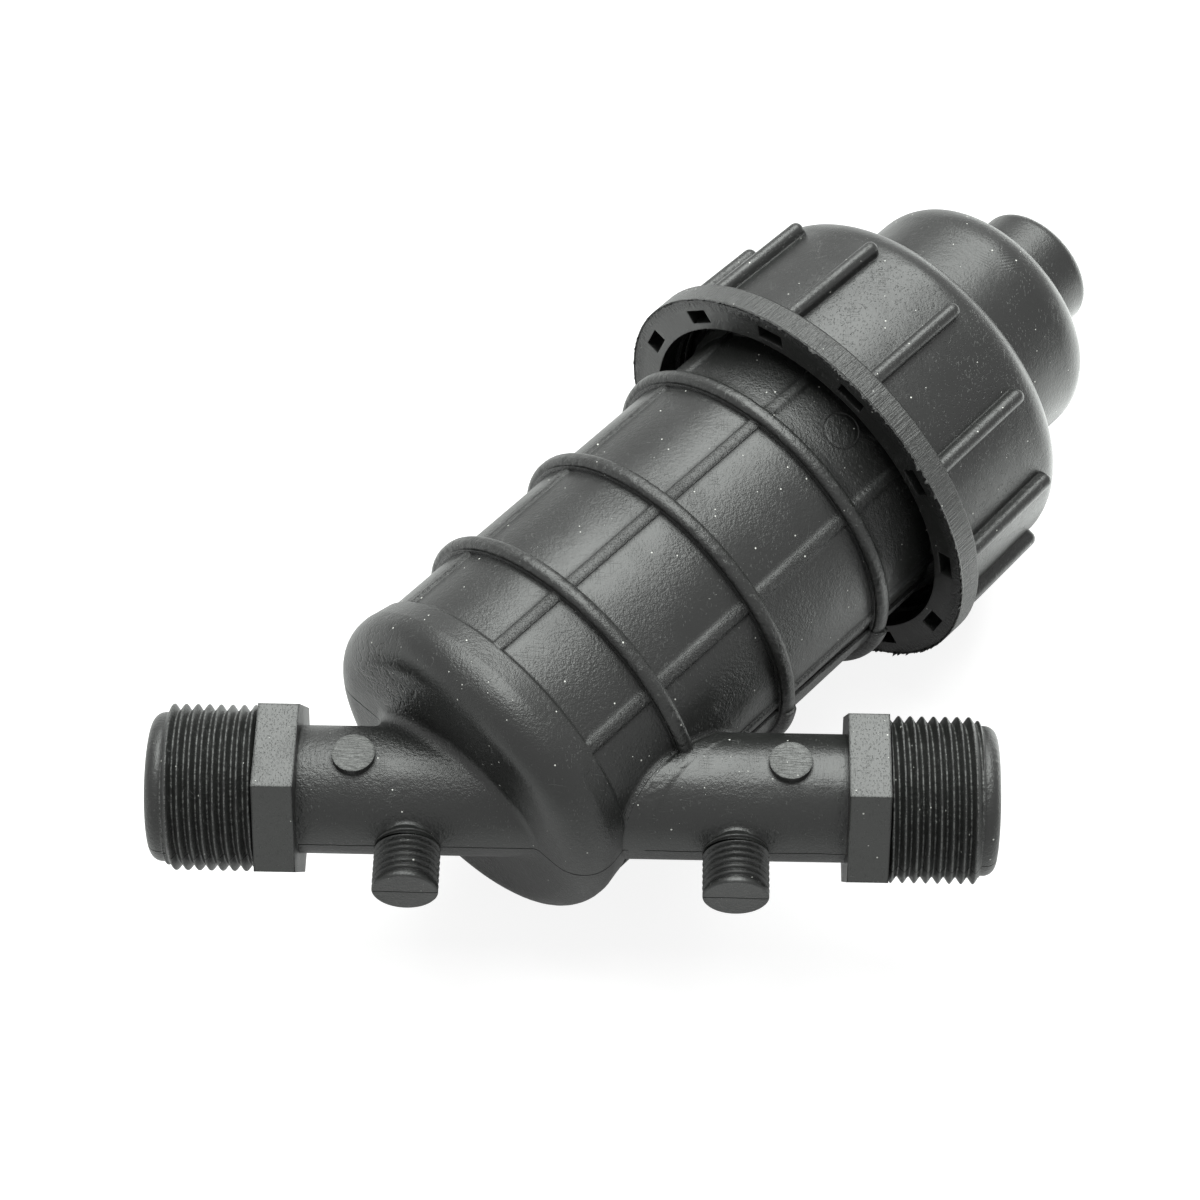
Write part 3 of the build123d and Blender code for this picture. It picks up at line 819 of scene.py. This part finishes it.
def make_insert_mark(material):
    """The thin raised ring that a mould insert left on the neck, around a small round field."""
    thick = 0.24
    rise = 0.16
    sunk = 0.3
    around = 72
    section = ((-thick, -sunk), (-thick / 2, rise), (thick / 2, rise), (thick, -sunk))
    points = []
    for reach, height in section:
        for step in range(around):
            turned = 2 * math.pi * step / around
            z = MARK_PLACE + (MARK_RADIUS + reach) * math.cos(turned)
            beside = (MARK_RADIUS + reach) * math.sin(turned) / NECK_RADIUS
            points.append(polar_point(NECK_RADIUS + height, math.radians(90 + MARK_ANGLE) + beside, z))
    faces = [face[::-1] for face in ring_faces(len(section), around)]
    return new_piece("insert_mark", points, faces, material, "housing", BARREL)


# Lamps, floor and world. Their sizes are in metres, and the lamps' powers in watts.
LAMP_COLOUR = (0.962, 1.0, 0.970)
LIT_PLACE = Vector((0.09, 0.06, 0.0))
FLOOR_LEVEL = cad_box[0].z - 0.6 * MM
FLOOR_SIZE = 6
WORLD_GREY = 0.30
SEEN_RAYS = ("Is Camera Ray",)
MIRROR_RAYS = ("Is Glossy Ray", "Is Transmission Ray")


def add_area(name, place, target, width, depth, power):
    """A soft rectangular lamp that faces a point."""
    data = bpy.data.lights.new(name, "AREA")
    data.shape = "RECTANGLE"
    data.size = width
    data.size_y = depth
    data.energy = power
    data.color = LAMP_COLOUR
    lamp = bpy.data.objects.new(name, data)
    lamp.location = place
    lamp.rotation_mode = "QUATERNION"
    lamp.rotation_quaternion = (target - Vector(place)).to_track_quat("-Z", "Y")
    bpy.context.scene.collection.objects.link(lamp)
    return lamp


def make_lamps():
    """A large soft lamp above, a faint glow from the table at the right, and a low lamp at the left."""
    add_area("overhead", (0.10, 0.51, 1.10), LIT_PLACE, width=1.00, depth=1.40, power=35)
    table_place = Vector((0.40, 0.20, cad_box[0].z))
    table = add_area("right_table", table_place, table_place + UP, width=0.40, depth=0.34, power=0.85)
    table.visible_camera = False
    add_area("left_side", (-0.65, 0.0, 0.01), LIT_PLACE, width=1.0, depth=0.10, power=0.4)


def rays_of(tree, kinds):
    """1 for rays of these kinds, 0 for the others."""
    path = tree.nodes.new("ShaderNodeLightPath")
    total = path.outputs[kinds[0]]
    for kind in kinds[1:]:
        join = tree.nodes.new("ShaderNodeMath")
        join.operation = "MAXIMUM"
        tree.links.new(total, join.inputs[0])
        tree.links.new(path.outputs[kind], join.inputs[1])
        total = join.outputs["Value"]
    return total


def make_world():
    """Plain white to look at and to be mirrored, and a dimmer grey that lights the object."""
    world = bpy.data.worlds.new("studio")
    world.use_nodes = True
    tree = world.node_tree
    mix = tree.nodes.new("ShaderNodeMix")
    mix.data_type = "RGBA"
    mix.inputs[6].default_value = (WORLD_GREY, WORLD_GREY, WORLD_GREY, 1)
    mix.inputs[7].default_value = (1, 1, 1, 1)
    tree.links.new(rays_of(tree, SEEN_RAYS + MIRROR_RAYS), mix.inputs[0])
    tree.links.new(mix.outputs[2], tree.nodes["Background"].inputs["Color"])
    world.cycles.sampling_method = "NONE"
    bpy.context.scene.world = world


def make_floor():
    """A wide plain floor just under the object, white with a pale shadow to look at."""
    bpy.ops.mesh.primitive_plane_add(size=FLOOR_SIZE, location=(0.08, 0.08, FLOOR_LEVEL))
    floor = bpy.context.object
    floor.name = "floor"
    graph = Graph("floor_white")

    def diffuse(grey):
        """A matt grey, which throws light back at the object."""
        return graph.node("BsdfDiffuse", {"Color": (grey, grey, grey, 1)}).outputs[0]

    def shadowed_white(grey, glow):
        """A matt grey that also glows, so that it is white and the shadow on it stays pale."""
        light = graph.node("Emission", {"Color": (glow, glow, glow, 1), "Strength": 1.0}).outputs[0]
        return graph.node("AddShader", {0: diffuse(grey), 1: light}).outputs[0]

    seen = shadowed_white(grey=0.34, glow=0.86)
    mirrored = shadowed_white(grey=0.62, glow=0.20)
    lighting = diffuse(grey=0.5)
    camera = rays_of(graph.tree, SEEN_RAYS)
    mirror = rays_of(graph.tree, MIRROR_RAYS)
    unseen = graph.node("MixShader", {0: mirror, 1: lighting, 2: mirrored}).outputs[0]
    every = graph.node("MixShader", {0: camera, 1: unseen, 2: seen}).outputs[0]
    graph.fill(graph.output, {"Surface": every})
    graph.tree.nodes.remove(graph.shader)
    graph.material.cycles.emission_sampling = "NONE"
    floor.data.materials.append(graph.material)


# Materials
body_plastic = make_body_plastic()
cap_plastic = make_cap_plastic()
cage_plastic = make_cage_plastic()
rubber = make_rubber()
mesh_steel = make_mesh_steel()
dress("housing", body_plastic)
dress("cap", cap_plastic)
dress("screen_cage", cage_plastic)
dress("screen_mesh", mesh_steel)
for rubber_node in ("cap_seal", "screen_o_ring", "cap_gasket"):
    dress(rubber_node, rubber)

# Pieces
make_pipe_threads(body_plastic)
make_stud_threads(body_plastic)
make_neck_thread(body_plastic)
make_cap_thread(cap_plastic)
make_flange_burr(cap_plastic)
make_lower_skin(body_plastic)
make_insert_mark(body_plastic)

# Studio
make_camera()
make_world()
make_floor()
make_lamps()
bpy.context.scene.view_settings.view_transform = "Standard"
